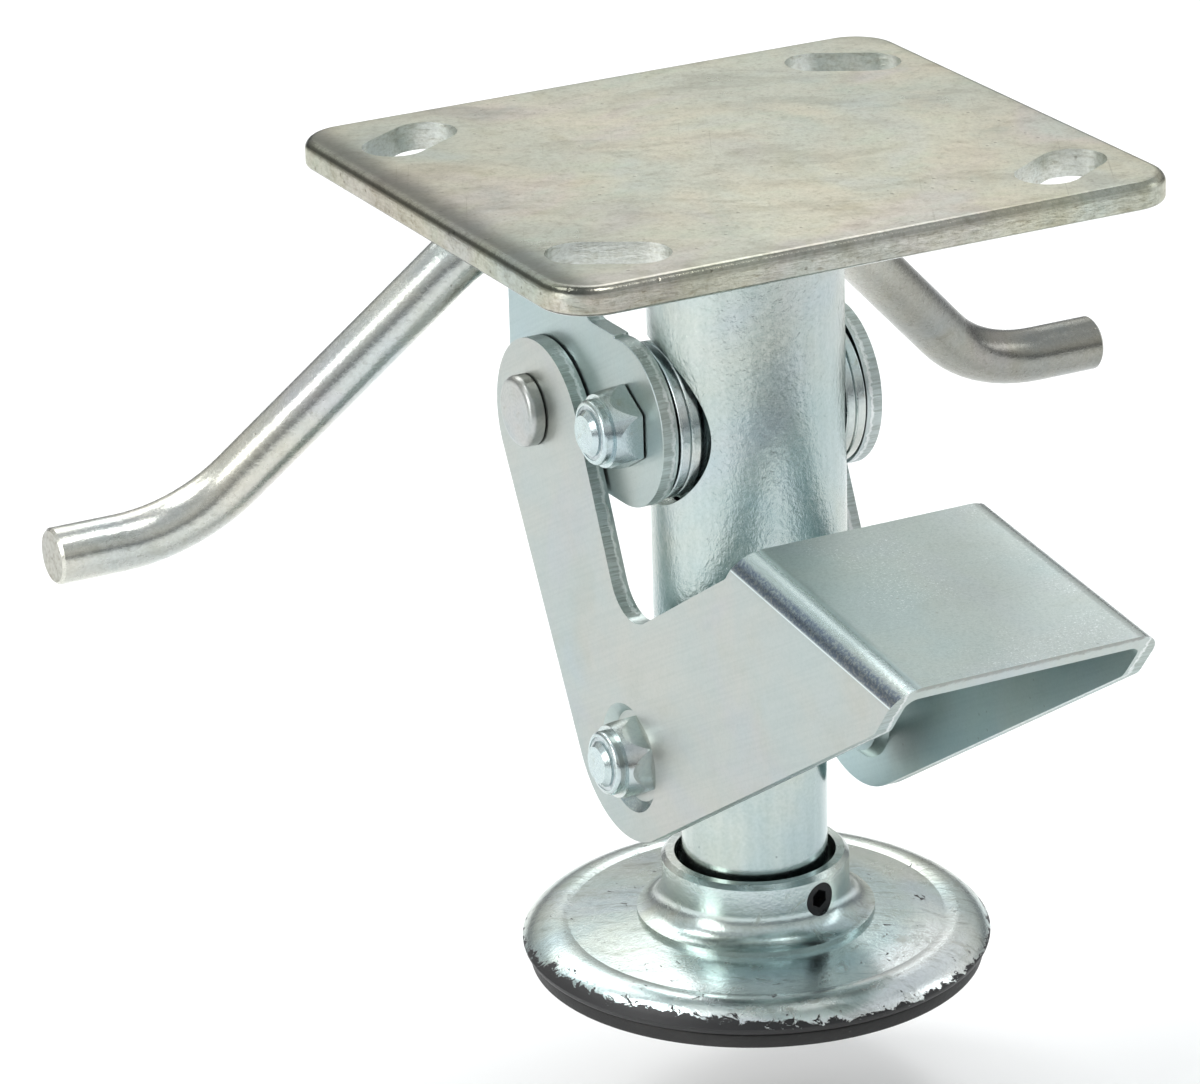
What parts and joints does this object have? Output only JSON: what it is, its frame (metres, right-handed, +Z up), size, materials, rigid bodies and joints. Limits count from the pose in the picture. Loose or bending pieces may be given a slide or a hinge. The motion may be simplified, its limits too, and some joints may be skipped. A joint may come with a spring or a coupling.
{
  "type": "caster floor lock",
  "caption": "Foot-operated floor lock: a slotted top plate and tube, a pedal linkage that drives a rubber-padded foot down, and a bent release bar.",
  "frame": {"origin": "Where the plunger's axis meets the top face of the mounting plate", "axes": "+Z up out of the plate's mounting face; +X along the plate's long side and every pivot; the pedal points to -Y"},
  "size_m": [0.2094, 0.1536, 0.1459],
  "materials": {
    "plate_zinc": "satin zinc plate, faintly mottled",
    "sheet_zinc": "cool satin zinc plate on pressed sheet",
    "tube_zinc": "bright zinc plate on drawn tube",
    "weld_zinc": "zinc plate over weld bead",
    "turned_zinc": "bright zinc plate on turned steel",
    "fastener_zinc": "bright zinc-plated fastener",
    "bar_zinc": "bright zinc plate on round bar",
    "foot_zinc": "bright zinc plate, worn at the rim",
    "pad_rubber": "black moulded rubber",
    "black_oxide": "black oxide on hardened steel",
    "spring_steel": "oiled spring steel",
    "nylon": "pale nylon ring"
  },
  "bodies": {
    "frame": {"top_plate": "plate_zinc", "housing_tube": "tube_zinc", "housing_weld": "weld_zinc", "pivot_sleeve": "turned_zinc", "pivot_discs_left": "turned_zinc", "pivot_discs_right": "turned_zinc", "upper_bolt": "fastener_zinc", "upper_lock_nut": "fastener_zinc", "upper_nut_insert": "nylon", "return_spring": "spring_steel"},
    "crank": {"crank_plate_left": "sheet_zinc", "crank_plate_right": "sheet_zinc", "release_bar": "bar_zinc", "bar_welds": "weld_zinc", "crank_rivets": "fastener_zinc"},
    "pedal": {"pedal": "sheet_zinc", "lower_bolt": "fastener_zinc", "lower_lock_nut": "fastener_zinc", "lower_nut_insert": "nylon", "lower_spacers": "turned_zinc"},
    "plunger": {"plunger_tube": "tube_zinc", "plunger_plug": "turned_zinc"},
    "foot": {"foot_collar": "foot_zinc", "foot_disc": "foot_zinc", "foot_pad": "pad_rubber", "foot_set_screw": "black_oxide"}
  },
  "joints": [
    {"name": "crank_hinge", "type": "hinge", "parent": "frame", "child": "crank", "pos_m": [0, 0.0038, -0.0454], "axis": [-1, 0, 0], "range_deg": [0, 86], "stiffness_Nm_per_rad": 0.5, "springref_deg": -22.92},
    {"name": "pedal_hinge", "type": "hinge", "parent": "crank", "child": "pedal", "pos_m": [0, 0.033, -0.0508], "axis": [1, 0, 0], "range_deg": [0, 117.43]},
    {"name": "plunger_slide", "type": "slide", "parent": "frame", "child": "plunger", "axis": [0, 0, -1], "range_m": [0, 0.0338], "deforming": ["return_spring"]},
    {"name": "foot_swivel", "type": "hinge", "parent": "plunger", "child": "foot", "pos_m": [0, 0, -0.1379], "axis": [0, 0, 1], "continuous": true}
  ],
  "couplings": [
    {"joint": "pedal_hinge", "follows": "crank_hinge", "ratio": 1.3654},
    {"joint": "plunger_slide", "follows": "crank_hinge", "m_per_rad": 0.022517}
  ]
}
